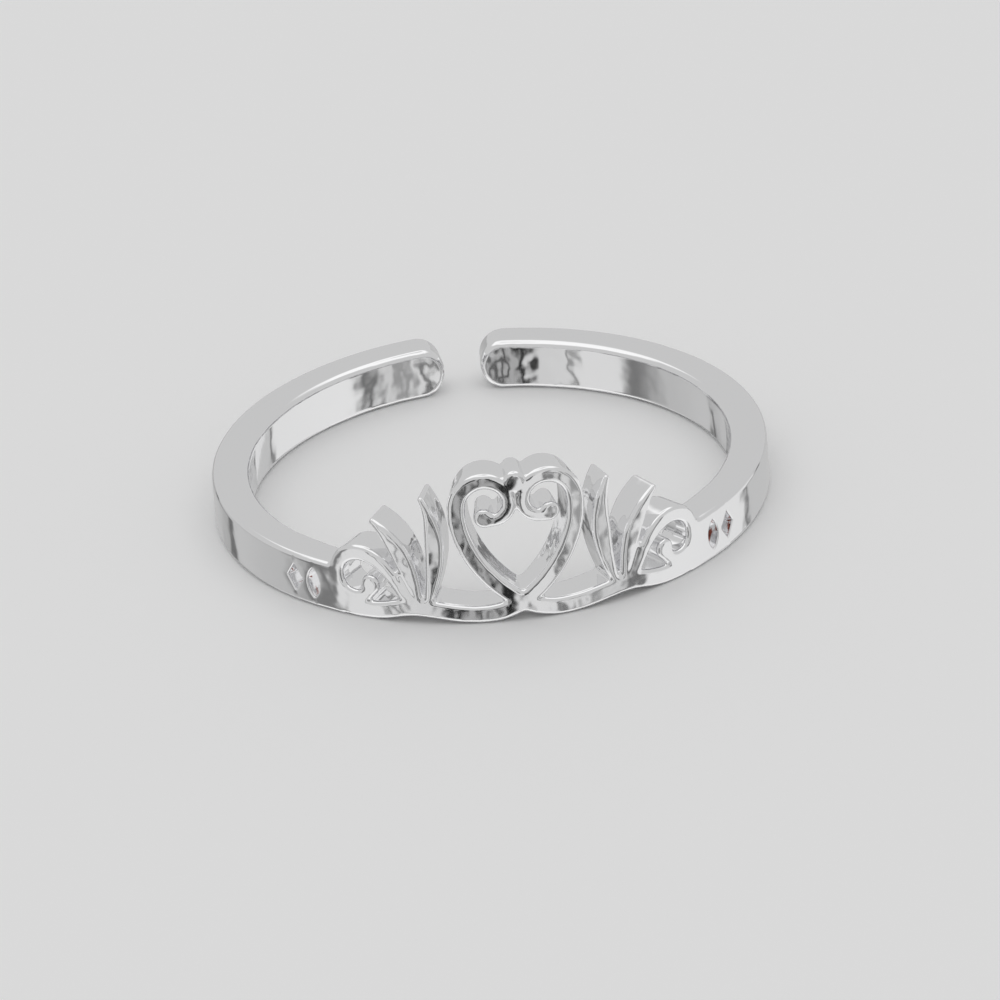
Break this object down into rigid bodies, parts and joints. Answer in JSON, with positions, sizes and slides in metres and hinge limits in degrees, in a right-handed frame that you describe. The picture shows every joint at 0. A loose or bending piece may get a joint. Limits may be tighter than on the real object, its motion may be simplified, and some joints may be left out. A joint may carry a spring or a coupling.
{
  "type": "name ring",
  "caption": "Open, adjustable polished silver ring. Its front is pierced into a scrolled heart between leaves and volutes, in place of a name.",
  "frame": {"origin": "on the finger's axis, at half the height of the band", "axes": "+Z along the finger's axis, towards the tall side of the openwork; the openwork faces -Y and the opening is at +Y"},
  "size_m": [0.02, 0.02, 0.0059],
  "materials": {
    "polished_silver": "mirror polish"
  },
  "bodies": {
    "root": {"ring": "polished_silver"}
  },
  "joints": []
}
